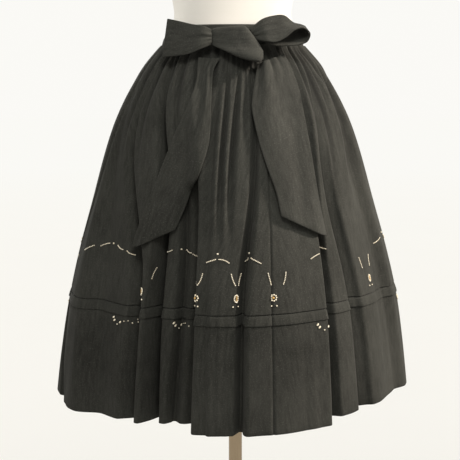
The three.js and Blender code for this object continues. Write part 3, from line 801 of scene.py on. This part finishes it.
class Border:
    """Places on the whole skirt by run along the cloth at the tuck, in millimetres."""

    def __init__(self):
        widths = [panel["width_at_tuck"] for panel in panels]
        self.starts = np.concatenate([[0], np.cumsum(widths)])
        self.total = self.starts[-1]
        self.beads = {"cream": [], "gold": []}

    def run_of(self, angle):
        for k, panel in enumerate(panels):
            first = panel["angle"][0]
            local = (angle - first) % 360
            if local <= panel["angle"][-1] - first:
                share = np.interp(local, panel["angle"] - first, panel["surfaces"][0].share[TUCK_ROW])
                return self.starts[k] + share * (self.starts[k + 1] - self.starts[k])
        raise ValueError(angle)

    def bead(self, run, drop, radius=BEAD_RADIUS, kind="cream", length=1.0, tilt=0.0):
        run %= self.total
        k = int(np.searchsorted(self.starts, run, side="right")) - 1
        share = (run - self.starts[k]) / (self.starts[k + 1] - self.starts[k])
        tier = 0 if drop < TUCK_DROP + TUCK_HEIGHT + 1 else 1
        surface = panels[k]["surfaces"][tier]
        point, normal = surface.at(share, drop)
        along = surface.along(share, drop, 0.002)
        up = np.cross(along, normal)
        if up[2] < 0:
            up = -up
        angle = tilt * DEGREE
        axis = along * math.cos(angle) + up * math.sin(angle)
        side = np.cross(normal, axis)
        centre = point + normal * radius * 0.62
        self.beads[kind].append((centre, axis * radius * length, side * radius, normal * radius * 0.85))

    def dash(self, run, drop, tilt):
        bow = rng.uniform(-1.3, 1.3)
        tilt = tilt + rng.uniform(-6, 6)
        for k in range(DASH_BEADS):
            t = k / (DASH_BEADS - 1) - 0.5
            along = t * DASH_LENGTH
            across = bow * (1 - 4 * t * t)
            cos, sin = math.cos(tilt * DEGREE), math.sin(tilt * DEGREE)
            place = run + along * cos - across * sin
            self.bead(place, drop - along * sin - across * cos, tilt=tilt, length=1.12)

    def flower(self, run, drop, open_centre):
        if open_centre:
            for k in range(9):
                angle = TAU * k / 9
                self.bead(run + 4.3 * math.cos(angle), drop + 4.3 * math.sin(angle), 1.35)
            self.bead(run, drop, 2.0, "gold")
        else:
            for k in range(12):
                angle = TAU * k / 12
                self.bead(run + 2.9 * math.cos(angle), drop + 5.0 * math.sin(angle), 1.2)
            for down in (-2.2, 0, 2.2):
                self.bead(run, drop + down, 1.3, "gold")
        for aside in (-4.5, 4.5):
            self.bead(run + aside, drop + 11.5, 1.2)

    def lay_out(self):
        hand = [self.run_of(angle) for angle in FLOWER_ANGLES]
        gap = (hand[0] - hand[-1]) % self.total
        more = round(gap / FLOWER_SPACING)
        flowers = hand + [hand[-1] + gap * k / more for k in range(1, more)]
        flowers.append(flowers[0] + self.total)
        flower_drop = TUCK_DROP - FLOWER_RISE
        for k in range(len(flowers) - 1):
            start, stop = flowers[k], flowers[k + 1]
            width = stop - start
            self.flower(start, flower_drop, k % 2 == 0)
            reach = min(width, WIDE_SWAG) / 2
            for across, up, tilt in zip(*SWAG_DASHES.values()):
                drop = flower_drop - up * SWAG_HEIGHT
                self.dash(start + across * reach, drop, tilt)
                self.dash(stop - across * reach, drop, -tilt)
            self.bead(start + width / 2, flower_drop - SWAG_HEIGHT, 1.5)
            if width > WIDE_SWAG:
                self.dash(start + width / 2 - 24, flower_drop - SWAG_HEIGHT + 4, 12)
                self.dash(start + width / 2 + 24, flower_drop - SWAG_HEIGHT + 4, -12)
            if width > NARROW_SWAG:
                self.spray(start + SPRAY_SHARES[k % len(SPRAY_SHARES)] * width)

    def spray(self, run):
        for along, below, size in zip(*SPRAY.values()):
            long = 1.7 if size > 1.8 else 1.0
            self.bead(run + along, TUCK_DROP + TUCK_HEIGHT + 3 + below, size / 1.3, length=long, tilt=40)


def ball(columns=10, rows=7):
    """Unit ball as points and four-cornered faces; all the points of a pole lie together."""
    lift = np.linspace(math.pi / 2, -math.pi / 2, rows)
    angle = TAU * np.arange(columns) / columns
    radius = np.cos(lift)[:, None]
    grid = np.stack(
        [radius * np.cos(angle), radius * np.sin(angle), np.sin(lift)[:, None] + 0 * angle], axis=-1
    )
    return grid.reshape(-1, 3), quads(rows, columns, wrap=True)[:, ::-1]


def joined(shape, frames):
    """Copies of a unit shape, one for each (centre, three axes)."""
    points, faces = shape
    placed = [c + points[:, :1] * a + points[:, 1:2] * b + points[:, 2:] * n for c, a, b, n in frames]
    shifted = [faces + k * len(points) for k in range(len(frames))]
    return np.concatenate(placed), np.concatenate(shifted)


def build_border():
    border = Border()
    border.lay_out()
    for name, kind, material in (("bead_border", "cream", BEAD), ("bead_flower_middles", "gold", GOLD)):
        points, faces = joined(ball(), border.beads[kind])
        make_piece(name, points, faces, material, "beads")


STITCH_PITCH = 3.6
STITCH_LENGTH = 2.6


def build_stitches():
    """The line of sewing that holds the tuck, sunk in its groove."""
    frames = []
    for panel in panels:
        surface = panel["surfaces"][0]
        width = panel["width_at_tuck"]
        count = int(width / STITCH_PITCH)
        for k in range(count):
            share = (k + 0.5) / count
            point, normal = surface.at(share, TUCK_DROP)
            along = surface.along(share, TUCK_DROP, 0.3 / count)
            side = np.cross(normal, along)
            frames.append((point + normal * 0.25, along * STITCH_LENGTH / 2, side * 0.3, normal * 0.3))
    points, faces = joined(ball(8, 5), frames)
    make_piece("tuck_stitches", points, faces, THREAD, "thread")


build_border()
build_stitches()


def form_section(z):
    return [look_up(FORM, "z", column, z) for column in ("side", "front", "back")]


def ring_points(count, z, side, front, back):
    angle = TAU * np.arange(count) / count
    depth = np.where(np.cos(angle) > 0, front, back)
    return np.stack([side * np.sin(angle), -depth * np.cos(angle), np.full(count, float(z))], axis=-1)


def closed_stack(rings):
    """A closed body through rings from top to bottom, drawn to a point at each end."""
    rings = [np.repeat(rings[0].mean(axis=0)[None], len(rings[0]), axis=0), *rings]
    rings.append(np.repeat(rings[-1].mean(axis=0)[None], len(rings[-1]), axis=0))
    grid = np.array(rings)
    return grid.reshape(-1, 3), quads(*grid.shape[:2], wrap=True)


def build_form():
    columns = 96
    rings = []
    for inset, rise in ((0.55, 0), (0.9, 0), (0.97, -0.6), (1, -2.2)):
        side, front, back = form_section(1450 + rise)
        rings.append(ring_points(columns, 1450 + rise, side * inset, front * inset, back * inset))
    for z in np.linspace(1446, 703, 150):
        rings.append(ring_points(columns, z, *form_section(z)))
    for inset, rise in ((0.985, 1), (0.96, 0), (0.5, 0)):
        side, front, back = form_section(700)
        rings.append(ring_points(columns, 700 + rise, side * inset, front * inset, back * inset))
    points, faces = closed_stack(rings)
    make_piece("form_cover", points, faces, FORM_COTTON, "form_cover", ["form_torso"])


FOOT_THICKNESS = 8
POST_RADIUS = 11.5
FOOT_RADIUS = 180
SOCKET_RADIUS = 21
SOCKET_HEIGHT = 46


def lathe(profile, columns):
    grid = np.array([ring_points(columns, z, r, r, r) for r, z in profile])
    return grid.reshape(-1, 3), quads(*grid.shape[:2], wrap=True)


def build_stand():
    bore = POST_RADIUS + SEAM_GAP
    profile = [
        (0.01, FOOT_THICKNESS), (bore, FOOT_THICKNESS), (bore, SOCKET_HEIGHT - 0.5),
        (bore + 0.5, SOCKET_HEIGHT), (SOCKET_RADIUS - 2, SOCKET_HEIGHT),
        (SOCKET_RADIUS - 0.6, SOCKET_HEIGHT - 0.6), (SOCKET_RADIUS, SOCKET_HEIGHT - 2),
        (SOCKET_RADIUS, FOOT_THICKNESS + 6), (SOCKET_RADIUS + 1.8, FOOT_THICKNESS + 2.4),
        (SOCKET_RADIUS + 6, FOOT_THICKNESS + 1), (FOOT_RADIUS - 2, FOOT_THICKNESS),
        (FOOT_RADIUS - 0.6, FOOT_THICKNESS - 0.6), (FOOT_RADIUS, FOOT_THICKNESS - 2),
        (FOOT_RADIUS, 2), (FOOT_RADIUS - 0.6, 0.6), (FOOT_RADIUS - 2, 0), (0.01, 0),
    ]
    make_piece("stand_foot_steel", *lathe(profile, 128), STEEL, "steel", ["stand_foot"], x=0, sharp=28)
    low = FOOT_THICKNESS + SEAM_GAP
    high = 700 - SEAM_GAP
    profile = [(0.01, high), (POST_RADIUS, high), (POST_RADIUS, low), (0.01, low)]
    make_piece("stand_post_steel", *lathe(profile, 64), STEEL, "steel", ["stand_post"], x=0, sharp=28)


# The left loop, from the knot out to its fold and back behind: the low and the high edge
LEFT_LOOP = table(
    "low_x low_y low_z high_x high_y high_z",
    (-34.2, -109, 998, -34.2, -108, 1022),
    (-50, -118, 991, -46, -114, 1027),
    (-70, -116, 983, -64, -110, 1030),
    (-90, -109, 980, -84, -102, 1035),
    (-107, -100, 979, -100, -92, 1039),
    (-112, -94, 979, -104, -86, 1040),
    (-107, -90, 980, -99, -82, 1039),
    (-90, -97, 981, -84, -91, 1034),
    (-70, -105, 984, -64, -99, 1029),
    (-50, -106, 992, -47, -102, 1024),
    (-34.2, -98, 1002, -34.2, -97, 1016),
)

# The right loop, from the knot over the curl at its tip and back below
RIGHT_LOOP = table(
    "low_x low_y low_z high_x high_y high_z",
    (39, -113, 1004.5, 26, -108, 1021.5),
    (54, -127, 1002, 46, -104, 1038),
    (68, -128, 1001, 64, -98, 1044),
    (83, -125, 1008, 81, -94, 1045),
    (97, -119, 1020, 98, -80, 1034),
    (112, -110, 1024, 111, -73, 1031),
    (123, -103, 1015, 117, -69, 1028.5),
    (119, -101, 1003, 113, -67, 1028.5),
    (107, -104, 998, 103, -68, 1030),
    (88, -109, 996, 88, -76, 1022),
    (68, -113, 996, 70, -87, 1014),
    (52, -113, 1000, 51, -97, 1013),
)

# The knot, as sections from left to right: low and high edge, and how far it stands forward
KNOT = table(
    "x low high proud",
    (-33, 997, 1023, 18),
    (-27, 994, 1025, 21),
    (-10, 986, 1026.5, 28),
    (6, 978, 1028, 33),
    (20, 973, 1027, 36),
    (32, 970, 1013, 36),
    (42, 970, 999, 32),
    (48, 974, 988, 24),
)

# The tails over the skirt: x and drop of both edges, and a soft fold down the cloth
LEFT_TAIL = table(
    "left left_drop right right_drop ridge",
    (-55, 22, -20, 24, 7),
    (-56, 40, -29, 40, 6),
    (-57, 58, -32, 58, 5),
    (-64, 82, -33, 84, 4),
    (-75, 109, -34, 112, 3),
    (-88, 136, -35, 141, 3),
    (-100, 166, -39, 166, 3),
    (-117, 208, -51, 201, 4),
    (-128, 236, -63, 226, 4),
    (-141, 267, -73, 254, 3),
    (-160, 322, -89, 290, 1),
)
RIGHT_TAIL = table(
    "left left_drop right right_drop ridge",
    (39, 33, 82, 16, 7),
    (37, 46, 92, 34, 9),
    (32, 74, 104, 70, 8),
    (29, 100, 109, 98, 7),
    (33, 124, 114, 126, 5),
    (43, 164, 121, 168, 4),
    (54, 197, 127, 206, 3),
    (65, 228, 134, 248, 2),
    (73, 264, 145, 299, 1),
)

# Creases in a ribbon: from and to, as parts of its length and its width, depth and half width
CREASE_COLUMNS = "from_along from_across to_along to_across deep half"
LEFT_LOOP_CREASES = table(
    CREASE_COLUMNS,
    (0, 0.4, 0.16, 0.28, 2.2, 3.5),
    (0, 0.62, 0.2, 0.7, 2.0, 4),
    (0.01, 0.2, 0.26, 0.1, 1.6, 4),
    (0.1, 0.5, 0.4, 0.55, -1.5, 7),
    (0.8, 0.4, 1, 0.5, 1.6, 4),
)
RIGHT_LOOP_CREASES = table(
    CREASE_COLUMNS,
    (0, 0.35, 0.2, 0.22, 2.4, 4),
    (0, 0.6, 0.26, 0.62, 2.2, 4),
    (0, 0.8, 0.3, 0.9, 1.8, 4),
    (0.1, 0.45, 0.4, 0.5, -1.2, 6),
)
LEFT_TAIL_CREASES = table(
    CREASE_COLUMNS,
    (0, 0.55, 0.3, 0.5, 4.5, 4),
    (0, 0.3, 0.42, 0.3, 3, 5),
    (0, 0.82, 0.45, 0.85, 3, 5),
    (0.25, 0.6, 0.8, 0.5, 2.4, 9),
    (0.1, 0.7, 0.6, 0.72, -2, 6),
)
RIGHT_TAIL_CREASES = table(
    CREASE_COLUMNS,
    (0, 0.5, 0.38, 0.5, 5, 5),
    (0, 0.74, 0.3, 0.76, 4, 4.5),
    (0.02, 0.14, 0.34, 0.12, 2.6, 5),
    (0.2, 0.6, 0.75, 0.62, 2.6, 11),
    (0, 0.3, 0.5, 0.3, -2.5, 8),
)
# Creases of the knot, in the plane of its front: x and z from and to, depth and half width
KNOT_CREASES = table(
    "from_x from_z to_x to_z deep half",
    (-40, 1012, 0, 1006, 1.6, 5),
    (-40, 1003, 12, 988, 1.6, 6),
    (-26, 1019, 14, 1017, 1.0, 5),
    (10, 1000, 36, 984, 1.4, 7),
)


def rail(points, count):
    """Centripetal Catmull-Rom curve through the points, at count even steps of its index."""
    points = np.asarray(points, float)
    before = 2 * points[0] - points[1]
    after = 2 * points[-1] - points[-2]
    p = np.concatenate([[before], points, [after]])
    at = np.linspace(0, len(points) - 1, count)
    i = np.minimum(at.astype(int), len(points) - 2)
    t = (at - i)[:, None]
    p0, p1, p2, p3 = p[i], p[i + 1], p[i + 2], p[i + 3]
    d0, d1, d2 = (
        np.maximum(np.sqrt(np.linalg.norm(b - a, axis=1, keepdims=True)), 1e-4)
        for a, b in ((p0, p1), (p1, p2), (p2, p3))
    )
    m1 = ((p1 - p0) / d0 - (p2 - p0) / (d0 + d1) + (p2 - p1) / d1) * d1
    m2 = ((p2 - p1) / d1 - (p3 - p1) / (d1 + d2) + (p3 - p2) / d2) * d1
    return p1 + m1 * t + (3 * (p2 - p1) - 2 * m1 - m2) * t**2 + (2 * (p1 - p2) + m1 + m2) * t**3


def segment_distance(x, y, x0, y0, x1, y1):
    """Distance of (x, y) from a segment."""
    dx, dy = x1 - x0, y1 - y0
    t = np.clip(((x - x0) * dx + (y - y0) * dy) / (dx * dx + dy * dy), 0, 1)
    return np.hypot(x - x0 - t * dx, y - y0 - t * dy), t


def ribbon_sizes(grid):
    length = np.linalg.norm(np.diff(grid, axis=0), axis=-1).sum(axis=0).mean()
    width = np.linalg.norm(np.diff(grid, axis=1), axis=-1).sum(axis=1).mean()
    return length, width


def pressed(grid, creases):
    """The grid with its creases pressed in along its normals."""
    length, width = ribbon_sizes(grid)
    rows, columns = grid.shape[:2]
    along = np.linspace(0, length, rows)[:, None]
    across = np.linspace(0, width, columns)[None, :]
    depth = np.zeros((rows, columns))
    for from_along, from_across, to_along, to_across, deep, half in zip(*creases.values()):
        apart, t = segment_distance(
            along, across, from_along * length, from_across * width, to_along * length, to_across * width
        )
        depth += deep * (1 - smooth(t)) * bell(apart, half)
    return grid - normals(grid) * depth[..., None]


def edge_places(count, rim):
    """Steps from 0 to 1 with two close together at each end, to round the cloth's edge."""
    inside = np.linspace(rim, 1 - rim, count)
    return np.concatenate([[0, 0.35 * rim], inside, [1 - 0.35 * rim, 1]])


def refit(grid, rows, columns):
    """The grid read at other places, given as parts of its length and width."""
    r = rows * (grid.shape[0] - 1)
    c = columns * (grid.shape[1] - 1)
    i = np.minimum(r.astype(int), grid.shape[0] - 2)
    j = np.minimum(c.astype(int), grid.shape[1] - 2)
    u = (r - i)[:, None, None]
    v = (c - j)[None, :, None]
    a = grid[i][:, j] * (1 - v) + grid[i][:, j + 1] * v
    b = grid[i + 1][:, j] * (1 - v) + grid[i + 1][:, j + 1] * v
    return a * (1 - u) + b * u


def ribbon(name, grid, replaced):
    """A strip of the sash's cloth with rounded edges through a fine grid of middle points."""
    thickness = SASH_CLOTH
    length, width = ribbon_sizes(grid)
    rim = thickness / 2
    rows = edge_places(grid.shape[0], rim / length)
    columns = edge_places(grid.shape[1], rim / width)
    grid = refit(grid, rows, columns)
    ends = np.array([0.25, 0.8])
    taper_along = np.ones(grid.shape[0])
    taper_across = np.ones(grid.shape[1])
    for taper in (taper_along, taper_across):
        taper[:2] = ends
        taper[-2:] = ends[::-1]
    half = thickness / 2 * np.minimum(taper_along[:, None], taper_across[None, :])
    n = normals(grid)
    outer = grid + n * half[..., None]
    inner = grid - n * half[..., None]
    points, faces = shell(outer, inner)
    weave = np.stack(np.broadcast_arrays(columns[None, :] * width, rows[:, None] * length, 0.0), axis=-1)
    piece = make_piece(name, points, faces, WOOL, "wool", [replaced], weave)


def loop_grid(rows, creases, along, across):
    low = rail(np.stack([rows["low_x"], rows["low_y"], rows["low_z"]], axis=-1), along)
    high = rail(np.stack([rows["high_x"], rows["high_y"], rows["high_z"]], axis=-1), along)
    v = np.linspace(0, 1, across)[None, :, None]
    grid = low[:, None] * (1 - v) + high[:, None] * v
    return pressed(grid, creases)


FRONT_X_STEP = 3.0
FRONT_DROP_STEP = 6.0


def front_heights():
    """How far forward the skirt's cloth comes, on a grid of x and drop."""
    xs = np.arange(-190, 171, FRONT_X_STEP)
    drops = np.arange(10, 341, FRONT_DROP_STEP)
    front_rows = np.flatnonzero(np.abs(FOLDS["waist"]) < 75)
    places = np.linspace(front_rows[0], front_rows[-1] + 0.99, 1600)
    points = Cloth(places, drops).points
    foremost = np.zeros((len(drops), len(xs)))
    for k, x in enumerate(xs):
        near = np.abs(points[..., 0] - x) < 9
        foremost[:, k] = np.where(near, points[..., 1], 0).min(axis=1)
    return xs, drops, foremost


FRONT_X, FRONT_DROPS, FOREMOST = front_heights()


def skirt_front(x, drop):
    i = np.clip((drop - FRONT_DROPS[0]) / FRONT_DROP_STEP, 0, len(FRONT_DROPS) - 1.001)
    j = np.clip((x - FRONT_X[0]) / FRONT_X_STEP, 0, len(FRONT_X) - 1.001)
    a, b = i.astype(int), j.astype(int)
    u, v = i - a, j - b
    top = FOREMOST[a, b] * (1 - v) + FOREMOST[a, b + 1] * v
    foot = FOREMOST[a + 1, b] * (1 - v) + FOREMOST[a + 1, b + 1] * v
    return top * (1 - u) + foot * u


def tail_grid(rows, ridge_at, clearance, creases):
    """A tail laid over the skirt, each of its points just in front of the cloth beneath it."""
    across = np.linspace(0, 1, 30)[None, :]
    last = len(rows["left"]) - 1
    places = np.linspace(0, last, last * 9 + 1)
    read = {key: through(np.arange(last + 1), rows[key], places)[:, None] for key in rows}
    x = read["left"] * (1 - across) + read["right"] * across
    drop = read["left_drop"] * (1 - across) + read["right_drop"] * across
    ridge = read["ridge"] * bell(across - ridge_at, 0.22)
    y = skirt_front(x, drop) - clearance - ridge
    for _ in range(14):
        padded = np.pad(y, 1, mode="edge")
        mean = (padded[:-2, 1:-1] + padded[2:, 1:-1] + padded[1:-1, :-2] + padded[1:-1, 2:]) / 4
        y = np.minimum(0.4 * y + 0.6 * mean, y + 0.8)
    grid = np.stack([x, y, WAIST_Z - drop], axis=-1)
    return pressed(grid, creases)


def knot_back(z, front):
    """How far forward the knot's back lies, evened out towards its front."""
    on_sash = look_up(FORM, "z", "front", z) + SASH_OUTSIDE + SEAM_GAP
    on_gathers = np.maximum(on_sash, look_up(ENVELOPE, "drop", "front", WAIST_Z - z) + CLOTH)
    stepped = np.where(z > WAIST_Z, on_sash, on_gathers)
    even = on_sash + (on_gathers - on_sash) * smooth((WAIST_Z + 14 - z) / 34)
    return stepped * (1 - smooth(3 * front)) + even * smooth(3 * front)


def build_knot():
    """Wrapped cloth, fuller than a plain oval in its middle, with the creases of its wraps."""
    columns = 96
    x = np.linspace(KNOT["x"][0], KNOT["x"][-1], 70)[:, None]
    low, high, proud = (through(KNOT["x"], KNOT[key], x) for key in ("low", "high", "proud"))
    angle = TAU * np.arange(columns)[None, :] / columns
    middle, half = (low + high) / 2, (high - low) / 2
    z = middle - half * np.sin(angle) * (1.25 - 0.25 * np.sin(angle) ** 2)
    front = (0.5 + 0.5 * np.cos(angle)) ** 0.7
    depth = np.zeros_like(z)
    for from_x, from_z, to_x, to_z, deep, width in zip(*KNOT_CREASES.values()):
        apart, t = segment_distance(x, z, from_x, from_z, to_x, to_z)
        depth += deep * smooth(4 * t + 0.3) * smooth(4 * (1 - t) + 0.3) * bell(apart, width)
    y = -knot_back(z, front) - proud * front + depth * smooth(2 * front)
    grid = np.stack([x + 0 * z, y, z], axis=-1)
    points, faces = closed_stack(list(grid))
    weave = np.stack([points[:, 2], points[:, 0], 0 * points[:, 0]], axis=-1)
    return make_piece("knot_cloth", points, faces[:, ::-1], WOOL, "wool", ["bow_knot"], weave, sharp=70)


def build_band(name, replaced, low_z, high_z, inside, waves):
    """A band round the waist that follows the form, with rounded edges and soft folds along it."""
    columns = 260
    profile = [(0, 0.25), (0.03, 0.8), *((t, 1) for t in np.linspace(0.07, 0.93, 14)), (0.97, 0.8), (1, 0.25)]
    angle = TAU * np.arange(columns) / columns
    outer, inner = [], []
    for t, taper in profile:
        z = high_z + (low_z - high_z) * t
        side = look_up(FORM, "z", "side", z) + inside + SASH_CLOTH / 2
        front = look_up(FORM, "z", "front", z) + inside + SASH_CLOTH / 2
        ripple = np.sin(3 * angle + 9 * t) + 0.7 * np.sin(5 * angle - 14 * t + 1)
        fold = waves * ripple * math.sin(math.pi * t)
        for rows, sign in ((outer, 1), (inner, -1)):
            away = sign * taper * SASH_CLOTH / 2 + (fold if sign > 0 else 0)
            x = (side + away) * np.sin(angle)
            y = -(front + away) * np.cos(angle)
            rows.append(np.stack([x, y, np.full(columns, z)], axis=-1))
    points, faces = shell(np.array(outer), np.array(inner), wrap=True)
    run = angle[None, :] * 100 + np.zeros((len(profile), 1))
    down = np.array([t for t, _ in profile])[:, None] * (high_z - low_z) + 0 * run
    weave = np.stack([down, run, 0 * run], axis=-1)
    piece = make_piece(name, points, faces, WOOL, "wool", [replaced], weave)


def build_bow():
    top = WAIST_Z + BAND_HEIGHT
    build_band("waistband_cloth", "waistband", WAIST_Z, top, BAND_CLEARANCE, 0)
    build_band("sash_cloth", "sash_wrap", WAIST_Z + 1, top - 1, SASH_OUTSIDE - SASH_CLOTH, 0.35)
    knot = build_knot()
    left = loop_grid(LEFT_LOOP, LEFT_LOOP_CREASES, 120, 30)
    ribbon("loop_left_cloth", left, "bow_loop_left")
    right = loop_grid(RIGHT_LOOP, RIGHT_LOOP_CREASES, 130, 30)
    ribbon("loop_right_cloth", right, "bow_loop_right")
    left = tail_grid(LEFT_TAIL, 0.75, 3.1, LEFT_TAIL_CREASES)
    ribbon("tail_left_cloth", left, "tail_left")
    right = tail_grid(RIGHT_TAIL, 0.3, 5.6, RIGHT_TAIL_CREASES)
    ribbon("tail_right_cloth", right, "tail_right")


build_form()
build_stand()
build_bow()


def camera():
    data = bpy.data.cameras.new("camera")
    data.sensor_width = 36
    data.lens = 92.03
    data.clip_end = 200
    eye = bpy.data.objects.new("camera", data)
    bpy.context.scene.collection.objects.link(eye)
    eye.location = (-0.0094, -2.0, 0.910)
    eye.rotation_euler = ((90 - 6.3) * DEGREE, 0, 0)
    bpy.context.scene.camera = eye


def area_light(name, lit, place, target, size, power, colour):
    data = bpy.data.lights.new(name, "AREA")
    data.shape = "DISK"
    data.size = size
    data.energy = power
    data.color = colour
    lamp = bpy.data.objects.new(name, data)
    bpy.context.scene.collection.objects.link(lamp)
    lamp.location = place
    lamp.rotation_euler = (Vector(target) - Vector(place)).to_track_quat("-Z", "Y").to_euler()
    lamp.light_linking.receiver_collection = lit


def surroundings():
    world = bpy.data.worlds.new("studio")
    bpy.context.scene.world = world
    world.use_nodes = True
    background = world.node_tree.nodes["Background"]
    background.inputs["Color"].default_value = (1.0, 0.99, 0.955, 1)
    background.inputs["Strength"].default_value = 0.96
    n = Nodes("floor")
    place = n.place()
    tone = n.noise(place, 1.5, 2.0)
    away = n.add("ShaderNodeVectorMath", {0: place}, operation="LENGTH").outputs["Value"]
    far = n.remap(away, 1.0, 14.0)
    near_colour = n.mix(tone, (0.80, 0.79, 0.76, 1), (0.82, 0.81, 0.78, 1))
    glow = n.mix(far, (1.0, 0.97, 0.93, 1), (1.0, 1.0, 1.0, 1))
    n.set(Base_Color=n.mix(far, near_colour, (0.82, 0.82, 0.81, 1)), Roughness=0.9)
    n.set(Emission_Color=glow, Emission_Strength=0.17, Specular_IOR_Level=0.0)
    grid = np.array([[(-1, 1, 0), (1, 1, 0)], [(-1, -1, 0), (1, -1, 0)]], float) * 60
    mesh = bpy.data.meshes.new("floor")
    mesh.from_pydata([tuple(p) for p in grid.reshape(-1, 3)], [], [(0, 2, 3, 1)])
    mesh.materials.append(n.material)
    floor = bpy.data.objects.new("floor", mesh)
    bpy.context.scene.collection.objects.link(floor)
    warm = (1.0, 0.92, 0.84)
    cool = (0.98, 0.99, 0.96)
    area_light("key", garment, (2.8, -0.35, 2.75), (0, 0, 0.85), 0.45, 325, warm)
    area_light("fill", garment, (0.05, -0.95, 1.75), (0, 0, 0.95), 0.4, 13, cool)
    area_light("back", garment, (-0.6, 2.7, 2.0), (0, 0, 0.8), 1.2, 70, cool)
    area_light("stand_key", stand, (2.1, -1.3, 1.9), (0, 0, 1.0), 1.2, 60, warm)
    bpy.context.scene.view_settings.view_transform = "Standard"


camera()
surroundings()
